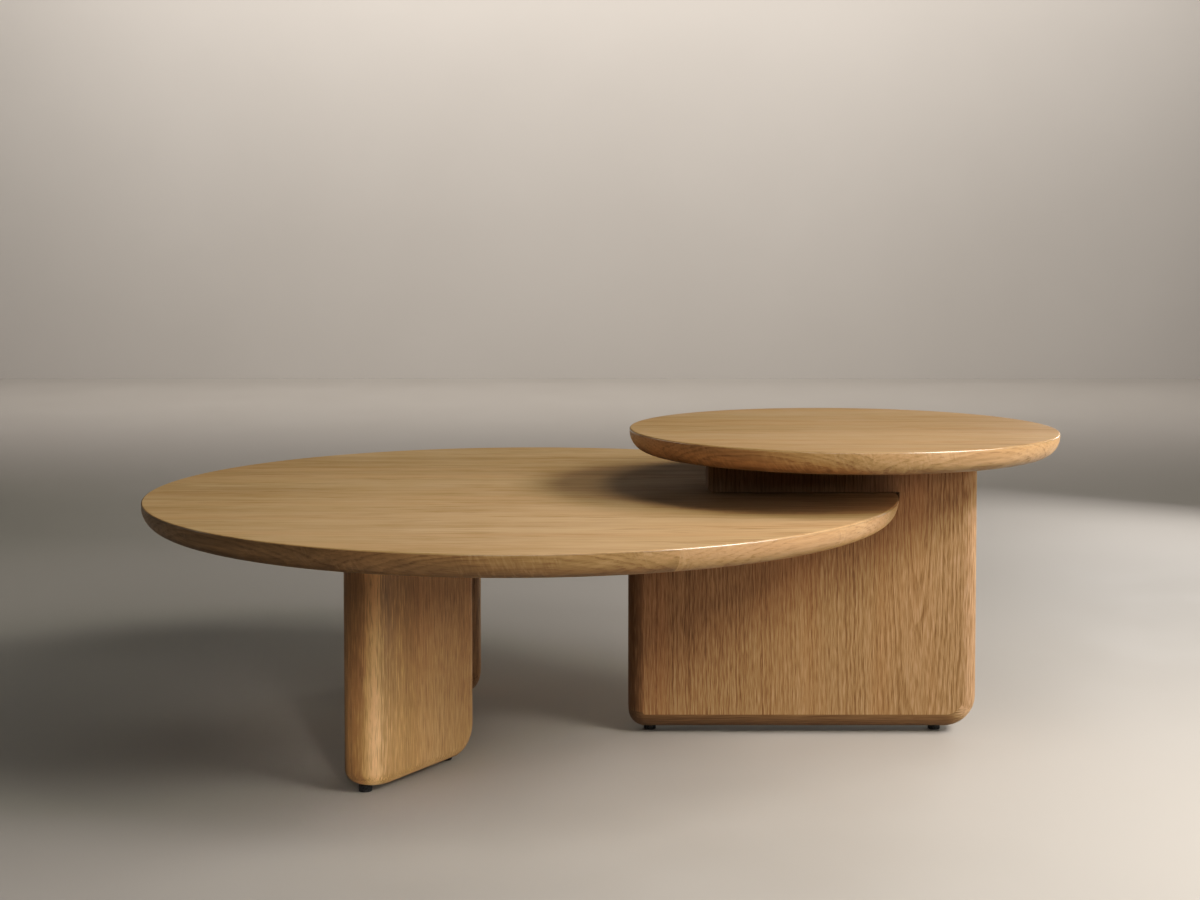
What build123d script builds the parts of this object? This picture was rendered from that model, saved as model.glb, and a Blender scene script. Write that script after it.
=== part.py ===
from build123d import *
import math
import os

# Nesting tables: a large low round top on two radial slab legs, and a small
# higher round top on a slab with a slot that takes in the large top's rim.
# Millimetres, +Z up, floor at z = 0. X runs from the large table to the small
# one, the origin is under the middle of the whole outline.

# ---------------------------------------------------------------- dimensions
LARGE_R = 533.4            # large top radius
SMALL_R = 304.8            # small top radius
LARGE_Z = 347.0            # upper face of the large top
SMALL_Z = 437.0            # upper face of the small top
TOP_T = 32.0               # thickness of both tops
CENTRE_GAP = 458.0         # from the large top's centre to the small top's
LARGE_X = -(CENTRE_GAP + SMALL_R - LARGE_R) / 2.0
SMALL_X = LARGE_X + CENTRE_GAP

RIM_A = 26.0               # rim undercut, horizontal reach of the curve
RIM_UP = 4.0               # straight part at the top of the rim
RIM_EASE = 0.8             # eased upper edge
VENEER = 1.2               # face veneer and backer thickness
BAND_W = 46.0              # width of the solid edge band
LARGE_SEGS = 8             # edge band segments
SMALL_SEGS = 6

LEG_T = 72.0               # leg and slab thickness
LEG_BOTTOM = 9.3           # height of the legs' undersides over the floor
LEG_IN = 159.0             # inner end of the legs, from the large top's centre
LEG_OUT = 373.0            # outer, bull-nosed end
LEG_FRONT_DEG = 237.3      # direction of the front leg
LEG_REAR_DEG = 126.0       # direction of the rear leg
LEG_CORNER = 42.0          # round inner bottom corner of a leg
LEG_EDGE = 18.0            # rounding of a leg's long edges
EDGE_R = 20.0              # rounding of the slab's long edges

SLAB_IN = 151.8            # slab, from the large top's centre
SLAB_OUT = 649.5
ARM_IN = 264.5             # free end of the upper arm
SLOT_END = 535.6           # closed end of the slot
SLOT_LOW = 313.0           # ledge
SLOT_HIGH = 348.0          # underside of the upper arm
SLAB_CORNER_OUT = 45.0
SLAB_CORNER_IN = 24.0
ARM_EDGE = 5.5             # rounding of the arm's free end
STOP_A, STOP_B = 27.0, 30.0   # curve of the stop block, which follows the rim

PLATE_T = 4.0
PLATE_W = 120.0
LEG_PLATE_L = 170.0
LEG_PLATE_MID = 262.0      # plate centre, from the large top's centre
SLAB_PLATE_L = 320.0
SLAB_PLATE_MID = (ARM_IN + SLAB_OUT) / 2.0

SCREW_R = 3.0              # plate screws
SCREW_HEAD_R = 6.0
SCREW_HEAD_H = 3.4
SCREW_UP = 15.0
INSERT_R = 5.0
SCREW_Y = 48.0             # plate screws stand this far off the leg's mid-plane

BOLT_R = 4.0               # countersunk bolts from the plate into the wood
BOLT_HEAD_R = 7.6
LEG_BOLT_L = 70.0
SLAB_BOLT_L = 42.0

FOOT_R = 8.75              # levelling feet
FOOT_H = 8.9
STEM_R = 3.9
STEM_TOP = 40.0
FOOT_INSERT_R = 6.0
FOOT_BORE_R = 4.0
FOOT_INSERT_LOW = 16.4
FOOT_INSERT_TOP = 44.0
LEG_FOOT_IN = 184.3        # feet of a leg, from the large top's centre
LEG_FOOT_OUT = 352.0
SLAB_FOOT_IN = 183.0
SLAB_FOOT_OUT = 594.0

FELT_T = 1.7


# ------------------------------------------------------------------- helpers
def cyl(x, y, z0, z1, r):
    """Upright cylinder from z0 to z1."""
    return Pos(x, y, z0) * Cylinder(r, z1 - z0, align=(Align.CENTER, Align.CENTER, Align.MIN))


def block(x0, x1, y0, y1, z0, z1):
    return Pos(x0, y0, z0) * Box(x1 - x0, y1 - y0, z1 - z0, align=(Align.MIN, Align.MIN, Align.MIN))


def solids_of(shape):
    return list(shape.solids())


def group(items):
    out = []
    for it in items:
        out += solids_of(it)
    return Compound(out)


def one(shape):
    s = solids_of(shape)
    assert len(s) == 1, len(s)
    return s[0]


def radial(shape, deg):
    """Place a shape drawn along +X from the large top's centre."""
    return Pos(LARGE_X, 0, 0) * Rot(0, 0, deg) * shape


# ---------------------------------------------------------------- round tops
def edge_band(cx, r, z_top, segs, first_deg):
    """Solid lipping: the rounded rim, in equal segments butted end to end."""
    zb = z_top - TOP_T
    zt = z_top - VENEER
    zs = z_top - RIM_UP
    k = RIM_A, zs - zb
    inner = r - BAND_W
    prof = [
        Line((inner, 0, zb), (r - RIM_A, 0, zb)),
        EllipticalCenterArc((0, 0), k[0], k[1], start_angle=-90, arc_size=90),
        Line((r, 0, zs), (r, 0, zt)),
        Line((r, 0, zt), (inner, 0, zt)),
        Line((inner, 0, zt), (inner, 0, zb)),
    ]
    # the quarter ellipse is drawn in XY, then stood up in XZ at its place
    plane = Plane(origin=(r - RIM_A, 0, zs), x_dir=(1, 0, 0), z_dir=(0, -1, 0))
    prof[1] = plane.from_local_coords(prof[1])
    face = make_face(prof)
    step = 360.0 / segs
    out = []
    for i in range(segs):
        seg = revolve(face, Axis.Z, step)
        out.append(Pos(cx, 0, 0) * Rot(0, 0, first_deg + i * step) * seg)
    return group(out)


def veneer_disc(cx, r, z_top):
    d = cyl(cx, 0, z_top - VENEER, z_top, r)
    edge = d.edges().group_by(Axis.Z)[-1]
    return one(fillet(edge, RIM_EASE))


def backer_disc(cx, r, z_top):
    return cyl(cx, 0, z_top - TOP_T, z_top - TOP_T + VENEER, r - BAND_W)


def core_disc(cx, r, z_top):
    return cyl(cx, 0, z_top - TOP_T + VENEER, z_top - VENEER, r - BAND_W)


# ------------------------------------------------------------- leg and slab
def leg_blank(z_top):
    """Leg along +X: bull-nosed outer end, round inner bottom corner."""
    nose = LEG_OUT - LEG_T / 2.0
    with BuildSketch(Plane.XZ) as sk:
        with BuildLine():
            Polyline(
                (LEG_IN, LEG_BOTTOM), (nose, LEG_BOTTOM), (nose, z_top),
                (LEG_IN, z_top), close=True,
            )
        make_face()
        corner = sk.vertices().sort_by_distance((LEG_IN, LEG_BOTTOM, 0))[0]
        fillet(corner, LEG_CORNER)
    body = extrude(sk.sketch, LEG_T / 2.0, both=True)
    picked = []
    for e in body.edges():
        m = e.position_at(0.5)
        if abs(abs(m.Y) - LEG_T / 2.0) < 1e-3 and m.X < nose - 1e-3 and m.Z < z_top - 1e-3:
            picked.append(e)
    body = fillet(picked, LEG_EDGE)
    h = LEG_T / 2.0
    a = math.sqrt(0.5) * LEG_EDGE
    prof = [
        Line((0, 0, LEG_BOTTOM), (h - LEG_EDGE, 0, LEG_BOTTOM)),
        ThreePointArc(
            (h - LEG_EDGE, 0, LEG_BOTTOM),
            (h - LEG_EDGE + a, 0, LEG_BOTTOM + LEG_EDGE - a),
            (h, 0, LEG_BOTTOM + LEG_EDGE),
        ),
        Line((h, 0, LEG_BOTTOM + LEG_EDGE), (h, 0, z_top)),
        Line((h, 0, z_top), (0, 0, z_top)),
        Line((0, 0, z_top), (0, 0, LEG_BOTTOM)),
    ]
    round_end = Pos(nose, 0, 0) * Rot(0, 0, -90) * revolve(make_face(prof), Axis.Z, 180)
    return one(body + round_end)


def slab_blank():
    """Notched slab, drawn from the large top's centre along +X."""
    z_top = SMALL_Z - TOP_T
    with BuildSketch(Plane.XZ) as sk:
        with BuildLine():
            Polyline(
                (SLAB_IN, LEG_BOTTOM), (SLAB_OUT, LEG_BOTTOM), (SLAB_OUT, z_top),
                (ARM_IN, z_top), (ARM_IN, SLOT_HIGH), (SLOT_END, SLOT_HIGH),
                (SLOT_END, SLOT_LOW), (SLAB_IN, SLOT_LOW), close=True,
            )
        make_face()

        def at(x, z):
            return sk.vertices().sort_by_distance((x, z, 0))[0]

        fillet(at(SLAB_IN, LEG_BOTTOM), SLAB_CORNER_IN)
        fillet(at(SLAB_OUT, LEG_BOTTOM), SLAB_CORNER_OUT)
        fillet(at(ARM_IN, SLOT_HIGH), 6.0)
    body = extrude(sk.sketch, LEG_T / 2.0, both=True)
    outer, arm = [], []
    for e in body.edges():
        m = e.position_at(0.5)
        if abs(abs(m.Y) - LEG_T / 2.0) > 1e-3:
            continue
        low = m.Z < LEG_BOTTOM + SLAB_CORNER_OUT
        left = abs(m.X - SLAB_IN) < 1e-3
        right = abs(m.X - SLAB_OUT) < 1e-3
        if low or left or right:
            outer.append(e)
    body = fillet(outer, EDGE_R)
    for e in body.edges():
        m = e.position_at(0.5)
        if abs(abs(m.Y) - LEG_T / 2.0) > 1e-3:
            continue
        if abs(m.X - ARM_IN) < 1e-3 and m.Z > SLOT_HIGH:
            arm.append(e)
    return body, arm


def stop_block():
    """Fills the foot of the slot's closed end and follows the rim's curve."""
    x0, z1 = SLOT_END - STOP_A, SLOT_LOW + STOP_B
    with BuildSketch(Plane.XZ) as sk:
        with BuildLine():
            EllipticalCenterArc((x0, z1), STOP_A, STOP_B, start_angle=-90, arc_size=90)
            Line((SLOT_END, z1), (SLOT_END, SLOT_LOW))
            Line((SLOT_END, SLOT_LOW), (x0, SLOT_LOW))
        make_face()
    return extrude(sk.sketch, LEG_T / 2.0, both=True)


# ------------------------------------------------------------------ hardware
def plate_blank(x_mid, length, z0):
    p = Pos(x_mid, 0, z0) * Box(
        length, PLATE_W, PLATE_T, align=(Align.CENTER, Align.CENTER, Align.MIN)
    )
    return fillet(p.edges().filter_by(Axis.Z), 10.0)


def bolt(x, z_plate_top, length):
    """Countersunk bolt, head flush with the upper face of the plate."""
    z = z_plate_top
    prof = Polyline(
        (0, 0, z), (BOLT_HEAD_R, 0, z), (BOLT_R, 0, z - (BOLT_HEAD_R - BOLT_R)),
        (BOLT_R, 0, z - length + 4.0), (0.8, 0, z - length), (0, 0, z - length),
        close=True,
    )
    return Pos(x, 0, 0) * revolve(make_face(prof), Axis.Z, 360)


def plate_screw(x, y, z_under):
    """Low domed head below the plate, shank up through it."""
    z = z_under
    r, h = SCREW_HEAD_R, SCREW_HEAD_H
    prof = [
        Line((0, 0, z - h), (2.0, 0, z - h)),
        ThreePointArc((2.0, 0, z - h), (r * 0.80, 0, z - h * 0.66), (r, 0, z)),
        Line((r, 0, z), (SCREW_R, 0, z)),
        Line((SCREW_R, 0, z), (SCREW_R, 0, z + SCREW_UP)),
        Line((SCREW_R, 0, z + SCREW_UP), (0, 0, z + SCREW_UP)),
        Line((0, 0, z + SCREW_UP), (0, 0, z - h)),
    ]
    screw = revolve(make_face(prof), Axis.Z, 360)
    # the drive socket opens downwards in the middle of the head
    return Pos(x, y, 0) * (screw - extrude(Pos(0, 0, z - h - 0.1) * RegularPolygon(1.7, 6), 2.1))


def screw_insert(x, y, z_under):
    z0 = z_under + PLATE_T
    z1 = z_under + SCREW_UP
    return cyl(x, y, z0, z1, INSERT_R) - cyl(x, y, z0 - 1, z1 + 1, SCREW_R)


def foot_insert(x):
    body = cyl(x, 0, FOOT_INSERT_LOW, FOOT_INSERT_TOP, FOOT_INSERT_R)
    return body - cyl(x, 0, 0, FOOT_INSERT_TOP - 1.5, FOOT_BORE_R)


def foot_hole(x):
    return cyl(x, 0, 0, FOOT_INSERT_TOP, FOOT_INSERT_R)


def foot_pad(x):
    r, h = FOOT_R, FOOT_H
    prof = Polyline(
        (0, 0, 0), (r - 0.7, 0, 0), (r, 0, 0.7), (r, 0, h - 2.2),
        (r - 1.6, 0, h), (STEM_R, 0, h), (STEM_R, 0, 3.0), (0, 0, 3.0),
        close=True,
    )
    return Pos(x, 0, 0) * revolve(make_face(prof), Axis.Z, 360)


def foot_stem(x):
    prof = Polyline(
        (0, 0, 3.0), (STEM_R, 0, 3.0), (STEM_R, 0, STEM_TOP - 1.2),
        (STEM_R - 1.0, 0, STEM_TOP), (0, 0, STEM_TOP), close=True,
    )
    return Pos(x, 0, 0) * revolve(make_face(prof), Axis.Z, 360)


# ------------------------------------------------------------------ assembly
nodes = {}
large_under = LARGE_Z - TOP_T
small_under = SMALL_Z - TOP_T

# two legs with their plates, bolts, screws and levelling feet
leg_raw = leg_blank(large_under)
leg_bolt_x = [LEG_PLATE_MID - 55.0, LEG_PLATE_MID, LEG_PLATE_MID + 55.0]
leg_screw_xy = [(LEG_PLATE_MID + sx * 66.0, sy * SCREW_Y) for sx in (-1, 1) for sy in (-1, 1)]
leg_bolts = [bolt(x, large_under + PLATE_T, LEG_BOLT_L) for x in leg_bolt_x]
leg_screws = [plate_screw(x, y, large_under) for x, y in leg_screw_xy]
leg_inserts = [screw_insert(x, y, large_under) for x, y in leg_screw_xy]
leg_feet_x = {"inner": LEG_FOOT_IN, "outer": LEG_FOOT_OUT}

leg = leg_raw
for b in leg_bolts:
    leg = leg - b
for x in leg_feet_x.values():
    leg = leg - foot_hole(x)
leg_plate_raw = plate_blank(LEG_PLATE_MID, LEG_PLATE_L, large_under)
leg_plate = leg_plate_raw
for b in leg_bolts:
    leg_plate = leg_plate - b
for x, y in leg_screw_xy:
    leg_plate = leg_plate - cyl(x, y, large_under - 1, large_under + PLATE_T + 1, SCREW_R)

sides = {"front": LEG_FRONT_DEG, "rear": LEG_REAR_DEG}
all_bolts, all_screws, all_inserts, all_foot_inserts = [], [], [], []
for side, deg in sides.items():
    nodes[side + "_leg"] = one(radial(leg, deg))
    nodes[side + "_leg_plate"] = one(radial(leg_plate, deg))
    all_bolts += [radial(b, deg) for b in leg_bolts]
    all_screws += [radial(s, deg) for s in leg_screws]
    all_inserts += [radial(s, deg) for s in leg_inserts]
    for place, x in leg_feet_x.items():
        all_foot_inserts.append(radial(foot_insert(x), deg))
        nodes["%s_leg_%s_foot_pad" % (side, place)] = one(radial(foot_pad(x), deg))
        nodes["%s_leg_%s_foot_stem" % (side, place)] = one(radial(foot_stem(x), deg))
nodes["leg_bolts"] = group(all_bolts)
nodes["leg_plate_screws"] = group(all_screws)
nodes["large_top_inserts"] = group(all_inserts)
nodes["leg_foot_inserts"] = group(all_foot_inserts)

# large top
core = core_disc(LARGE_X, LARGE_R, LARGE_Z)
backer = backer_disc(LARGE_X, LARGE_R, LARGE_Z)
for deg in sides.values():
    recess = radial(leg_plate_raw, deg)
    core = core - recess
    backer = backer - recess
    for x, y in leg_screw_xy:
        core = core - radial(cyl(x, y, large_under + PLATE_T - 1, large_under + SCREW_UP, INSERT_R), deg)
nodes["large_top_core"] = one(core)
nodes["large_top_backer"] = one(backer)
nodes["large_top_veneer"] = veneer_disc(LARGE_X, LARGE_R, LARGE_Z)
nodes["large_top_edge_band"] = edge_band(LARGE_X, LARGE_R, LARGE_Z, LARGE_SEGS, 22.5)

# notched slab with its plate, bolts, screws, felts and feet
slab, arm_edges = slab_blank()
slab = fillet(arm_edges, ARM_EDGE)
slab_bolt_x = [SLAB_PLATE_MID + d for d in (-130.0, -65.0, 0.0, 65.0, 130.0)]
slab_screw_xy = [(SLAB_PLATE_MID + d, s * SCREW_Y) for d in (-144.0, 0.0, 144.0) for s in (-1, 1)]
slab_bolts = [bolt(x, small_under + PLATE_T, SLAB_BOLT_L) for x in slab_bolt_x]
slab_screws = [plate_screw(x, y, small_under) for x, y in slab_screw_xy]
slab_inserts = [screw_insert(x, y, small_under) for x, y in slab_screw_xy]
slab_feet_x = {"inner": SLAB_FOOT_IN, "outer": SLAB_FOOT_OUT}
for b in slab_bolts:
    slab = slab - b
for x in slab_feet_x.values():
    slab = slab - foot_hole(x)
slab_plate_raw = plate_blank(SLAB_PLATE_MID, SLAB_PLATE_L, small_under)
slab_plate = slab_plate_raw
for b in slab_bolts:
    slab_plate = slab_plate - b
for x, y in slab_screw_xy:
    slab_plate = slab_plate - cyl(x, y, small_under - 1, small_under + PLATE_T + 1, SCREW_R)

nodes["notched_slab"] = one(radial(slab, 0))
nodes["slab_plate"] = one(radial(slab_plate, 0))
nodes["slab_bolts"] = group([radial(b, 0) for b in slab_bolts])
nodes["slab_plate_screws"] = group([radial(s, 0) for s in slab_screws])
nodes["small_top_inserts"] = group([radial(s, 0) for s in slab_inserts])
nodes["slab_foot_inserts"] = group([radial(foot_insert(x), 0) for x in slab_feet_x.values()])
for place, x in slab_feet_x.items():
    nodes["slab_%s_foot_pad" % place] = one(radial(foot_pad(x), 0))
    nodes["slab_%s_foot_stem" % place] = one(radial(foot_stem(x), 0))
nodes["slot_glide_felt"] = one(radial(
    block(SLAB_IN + 24.0, SLOT_END - STOP_A - 6.0, -20.0, 20.0, SLOT_LOW, SLOT_LOW + FELT_T), 0))
nodes["slot_stop_block"] = one(radial(stop_block(), 0))

# small top
core = core_disc(SMALL_X, SMALL_R, SMALL_Z)
backer = backer_disc(SMALL_X, SMALL_R, SMALL_Z)
recess = radial(slab_plate_raw, 0)
core = core - recess
backer = backer - recess
for x, y in slab_screw_xy:
    core = core - radial(cyl(x, y, small_under + PLATE_T - 1, small_under + SCREW_UP, INSERT_R), 0)
nodes["small_top_core"] = one(core)
nodes["small_top_backer"] = one(backer)
nodes["small_top_veneer"] = veneer_disc(SMALL_X, SMALL_R, SMALL_Z)
nodes["small_top_edge_band"] = edge_band(SMALL_X, SMALL_R, SMALL_Z, SMALL_SEGS, 30.0)

os.makedirs("parts", exist_ok=True)
for name, shape in nodes.items():
    export_step(shape, "parts/%s.step" % name)
print(len(nodes), "nodes")
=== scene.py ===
import math

import bpy
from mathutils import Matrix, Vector


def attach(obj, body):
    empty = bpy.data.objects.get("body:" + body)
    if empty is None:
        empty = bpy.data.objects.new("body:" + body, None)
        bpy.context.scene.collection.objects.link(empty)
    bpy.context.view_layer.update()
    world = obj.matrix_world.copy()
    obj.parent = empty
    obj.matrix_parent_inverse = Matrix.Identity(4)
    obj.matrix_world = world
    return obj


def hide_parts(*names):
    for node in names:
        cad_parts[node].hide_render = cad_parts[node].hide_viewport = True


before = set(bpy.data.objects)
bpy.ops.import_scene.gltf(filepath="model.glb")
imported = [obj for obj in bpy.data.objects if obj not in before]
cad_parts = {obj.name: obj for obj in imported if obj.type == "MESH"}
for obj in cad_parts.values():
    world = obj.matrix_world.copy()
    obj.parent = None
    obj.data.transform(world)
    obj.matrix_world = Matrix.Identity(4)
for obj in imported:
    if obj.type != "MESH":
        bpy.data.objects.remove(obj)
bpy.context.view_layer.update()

MM = 0.001

# ------------------------------------------------------------------ sizes, mm
LARGE_R, SMALL_R = 533.4, 304.8
LARGE_Z, SMALL_Z = 347.0, 437.0
TOP_T = 32.0
GAP = 458.0
LARGE_X = -(GAP + SMALL_R - LARGE_R) / 2.0
SMALL_X = LARGE_X + GAP
RIM_A, RIM_UP = 26.0, 4.0
VENEER = 1.2
BAND_W = 46.0
HALF_T = 36.0
BOTTOM = 9.3
EDGE_R = 20.0
LEG_EDGE = 18.0
EASE = 2.4
LEG_IN, LEG_OUT, LEG_CORNER = 159.0, 373.0, 42.0
SLAB_IN, SLAB_OUT = 151.8, 649.5
ARM_IN, SLOT_END = 264.5, 535.6
SLOT_LOW, SLOT_HIGH = 313.0, 348.0
STOP_A, STOP_B = 27.0, 30.0
CORNER_IN, CORNER_OUT = 24.0, 45.0
FEET = {
    "front_leg_inner": (184.3, 237.3),
    "front_leg_outer": (352.0, 237.3),
    "rear_leg_inner": (184.3, 126.0),
    "rear_leg_outer": (352.0, 126.0),
    "slab_inner": (183.0, 0.0),
    "slab_outer": (594.0, 0.0),
}


# ---------------------------------------------------------------- node helper
class Mat:
    """A small wrapper that keeps the node code short."""

    def __init__(self, name):
        self.mat = bpy.data.materials.new(name)
        self.mat.use_nodes = True
        self.nt = self.mat.node_tree
        self.nt.nodes.clear()
        self.out = self.add("ShaderNodeOutputMaterial")
        self.bsdf = self.add("ShaderNodeBsdfPrincipled")
        self.nt.links.new(self.bsdf.outputs[0], self.out.inputs[0])

    def add(self, kind, **kw):
        n = self.nt.nodes.new(kind)
        for k, v in kw.items():
            setattr(n, k, v)
        return n

    def put(self, sock, v):
        if v is None:
            return
        if isinstance(v, bpy.types.NodeSocket):
            self.nt.links.new(v, sock)
        else:
            sock.default_value = v

    def set(self, name, v):
        self.put(self.bsdf.inputs[name], v)

    def math(self, op, a, b=None, c=None, clamp=False):
        n = self.add("ShaderNodeMath", operation=op, use_clamp=clamp)
        for s, v in zip(n.inputs, (a, b, c)):
            self.put(s, v)
        return n.outputs[0]

    def vmath(self, op, a, b=None, c=None):
        n = self.add("ShaderNodeVectorMath", operation=op)
        for s, v in zip(n.inputs, (a, b, c)):
            self.put(s, v)
        return n.outputs[1] if op in ("LENGTH", "DOT_PRODUCT", "DISTANCE") else n.outputs[0]

    def split(self, v):
        n = self.add("ShaderNodeSeparateXYZ")
        self.put(n.inputs[0], v)
        return n.outputs[0], n.outputs[1], n.outputs[2]

    def join(self, x, y, z):
        n = self.add("ShaderNodeCombineXYZ")
        for s, v in zip(n.inputs, (x, y, z)):
            self.put(s, v)
        return n.outputs[0]

    def noise(self, v, detail=2.0, rough=0.5, distort=0.0, color=False):
        n = self.add("ShaderNodeTexNoise", noise_dimensions="3D")
        self.put(n.inputs["Vector"], v)
        n.inputs["Scale"].default_value = 1.0
        n.inputs["Detail"].default_value = detail
        n.inputs["Roughness"].default_value = rough
        n.inputs["Distortion"].default_value = distort
        return n.outputs["Color"] if color else n.outputs[0]

    def white(self, v):
        n = self.add("ShaderNodeTexWhiteNoise", noise_dimensions="1D")
        self.put(n.inputs["W"], v)
        return n.outputs["Value"]

    def step(self, v, lo, hi, a=0.0, b=1.0):
        n = self.add("ShaderNodeMapRange", interpolation_type="SMOOTHSTEP", clamp=True)
        for s, x in zip(n.inputs[:5], (v, lo, hi, a, b)):
            self.put(s, x)
        return n.outputs[0]

    def ramp(self, f, stops):
        n = self.add("ShaderNodeValToRGB")
        e = n.color_ramp.elements
        while len(e) < len(stops):
            e.new(0.5)
        for el, (pos, col) in zip(e, stops):
            el.position = pos
            el.color = col if len(col) == 4 else (*col, 1.0)
        self.put(n.inputs[0], f)
        return n.outputs[0]

    def mix(self, f, a, b, blend="MIX"):
        n = self.add("ShaderNodeMix", data_type="RGBA", blend_type=blend, clamp_factor=True)
        self.put(n.inputs[0], f)
        for s, v in ((n.inputs[6], a), (n.inputs[7], b)):
            self.put(s, (*v, 1.0) if isinstance(v, tuple) and len(v) == 3 else v)
        return n.outputs[2]

    def bump(self, height, strength, distance, normal=None):
        n = self.add("ShaderNodeBump")
        n.inputs["Strength"].default_value = strength
        n.inputs["Distance"].default_value = distance
        self.put(n.inputs["Height"], height)
        if normal is not None:
            self.put(n.inputs["Normal"], normal)
        return n.outputs[0]

    def obj_mm(self):
        """Object coordinates in millimetres."""
        tc = self.add("ShaderNodeTexCoord")
        return self.vmath("MULTIPLY", tc.outputs["Object"], (1000.0, 1000.0, 1000.0))


# ----------------------------------------------------------------------- oak
def oak(name, coords, ring=4.4, pith=0.0, depth=30.0, taper=0.08, wander=9.0, wavy=2.6,
        light=(0.52, 0.315, 0.15), mid=(0.42, 0.235, 0.10), dark=(0.27, 0.135, 0.05),
        pore=(0.15, 0.068, 0.025), ring_k=0.42, fibre_k=0.5, band_k=0.3, pore_k=0.75,
        pore_size=(15.0, 2.3), band=(700.0, 30.0), leaf=0.0, leaf_k=0.0, fleck=0.0, fleck_tilt=0.35,
        tone_and_painted_light=None, shift=0.0, rough=(0.46, 0.60), bump=0.35, spec=0.32, matt=0.6, line_k=0.0, line=(14.0, 1.5),
        mott_k=0.24, run=1.0, sway=0.05, coat=None):
    """Solid or veneered oak. coords gives (along the grain, across, depth) in mm:
    growth rings as tapered cones round a pith line, rows of pores, fibres,
    broad colour bands and ray flecks, all cut by whatever shape it is put on."""
    t = Mat(name)
    p = coords(t)
    # slow wander of the grain, and a fine waviness
    w = t.noise(t.vmath("MULTIPLY", p, (1 / 520, 1 / 170, 1 / 170)), 2.0, 0.5, color=True)
    q = t.vmath("ADD", p, t.vmath("MULTIPLY", t.vmath("SUBTRACT", w, (0.5, 0.5, 0.5)), (0.0, wander, wander)))
    w = t.noise(t.vmath("MULTIPLY", p, (1 / 52, 1 / 21, 1 / 21)), 2.0, 0.5, color=True)
    q = t.vmath("ADD", q, t.vmath("MULTIPLY", t.vmath("SUBTRACT", w, (0.5, 0.5, 0.5)), (0.0, wavy, wavy)))
    g, a, d = t.split(q)
    lt = None
    if leaf:
        # veneer leaves laid side by side, each cut from another part of the log
        li = t.math("FLOOR", t.math("MULTIPLY_ADD", t.split(p)[1], 1.0 / leaf, 0.37))
        lt = t.math("SUBTRACT", t.white(li), 0.5)
        a = t.math("ADD", a, t.math("MULTIPLY", t.white(t.math("ADD", li, 31.7)), leaf * 7.0))
        a = t.math("SUBTRACT", t.math("PINGPONG", a, leaf * 0.8), leaf * 0.3)
    # growth rings
    da = t.math("SUBTRACT", a, pith)
    dd = t.math("ADD", t.math("ADD", d, depth), t.math("MULTIPLY", g, taper))
    rho = t.math("SQRT", t.math("ADD", t.math("MULTIPLY", da, da), t.math("MULTIPLY", dd, dd)))
    jit = t.noise(t.vmath("MULTIPLY", p, (1 / 90, 1 / 9, 1 / 9)), 2.0, 0.55)
    u = t.math("ADD", t.math("DIVIDE", rho, ring), t.math("MULTIPLY_ADD", jit, 1.2, -0.6))
    f = t.math("FRACT", u)
    rr = t.white(t.math("FLOOR", u))
    early = t.math("MULTIPLY", t.step(f, 0.0, 0.12), t.step(f, 0.70, 0.26))
    early = t.math("MULTIPLY", early, t.math("MULTIPLY_ADD", rr, 0.75, 0.25))
    # pores: short dashes along the grain, thick in the early wood
    pl, pw = pore_size
    n1 = t.noise(t.vmath("MULTIPLY", q, (1 / pl, 1 / pw, 1 / pw)), 1.5, 0.5)
    n2 = t.noise(t.vmath("MULTIPLY", q, (2.1 / pl, 2.0 / pw, 2.0 / pw)), 1.0, 0.5)
    s1, s2 = t.step(n1, 0.50, 0.66), t.step(n2, 0.54, 0.68)
    pores = t.math("MULTIPLY", s1, t.math("MULTIPLY_ADD", early, 0.70, 0.30))
    pores = t.math("MAXIMUM", pores, t.math("MULTIPLY", s2, t.math("MULTIPLY_ADD", early, 0.6, 0.12)))
    # fibres and broad bands
    fib = t.noise(t.vmath("MULTIPLY", q, (1 / 46 / run, 1 / 3.1, 1 / 3.1)), 3.0, 0.62)
    streak = t.noise(t.vmath("MULTIPLY", q, (1 / 210 / run, 1 / 9.5, 1 / 9.5)), 3.0, 0.55)
    bands = t.noise(t.vmath("MULTIPLY", q, (1 / band[0], 1 / band[1], 1 / band[1])), 3.0, 0.55)
    mott = t.noise(t.vmath("MULTIPLY", p, (1 / 60 / run, 1 / 22, 1 / 22)), 3.0, 0.6)
    k = t.math("MULTIPLY", early, ring_k)
    for n, amt in ((fib, fibre_k), (streak, fibre_k), (bands, band_k * 2.0), (mott, mott_k)):
        k = t.math("ADD", k, t.math("MULTIPLY", t.math("SUBTRACT", n, 0.5), amt))
    if line_k:
        # hair-fine lines, close together
        hair = t.noise(t.vmath("MULTIPLY", q, (1 / line[0], 1 / line[1], 1 / line[1])), 1.0, 0.5)
        k = t.math("ADD", k, t.math("MULTIPLY", t.math("SUBTRACT", hair, 0.5), line_k))
    if lt is not None and leaf_k:
        k = t.math("ADD", k, t.math("MULTIPLY", lt, leaf_k))
    # per-point shift read from the mesh: random board tone on the rims, painted shade on the rims' lower curve and on
    # the slab's bottom lipping, and a painted highlight band on the leg noses
    if tone_and_painted_light is not None:
        k = t.math("ADD", k, tone_and_painted_light(t))
    k = t.math("ADD", k, 0.34 + shift)
    col = t.ramp(k, [(0.0, light), (0.42, mid), (1.0, dark)])
    # a little more red in some of the broad bands
    hue = t.noise(t.vmath("MULTIPLY", q, (1 / 900, 1 / 55, 1 / 55)), 2.0, 0.5)
    warm = (mid[0] * 1.12, mid[1] * 0.98, mid[2] * 0.92)
    col = t.mix(t.step(hue, 0.42, 0.72, 0.0, 0.35), col, warm)
    height = t.math("MULTIPLY", fib, 0.35)
    if fleck:
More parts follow.
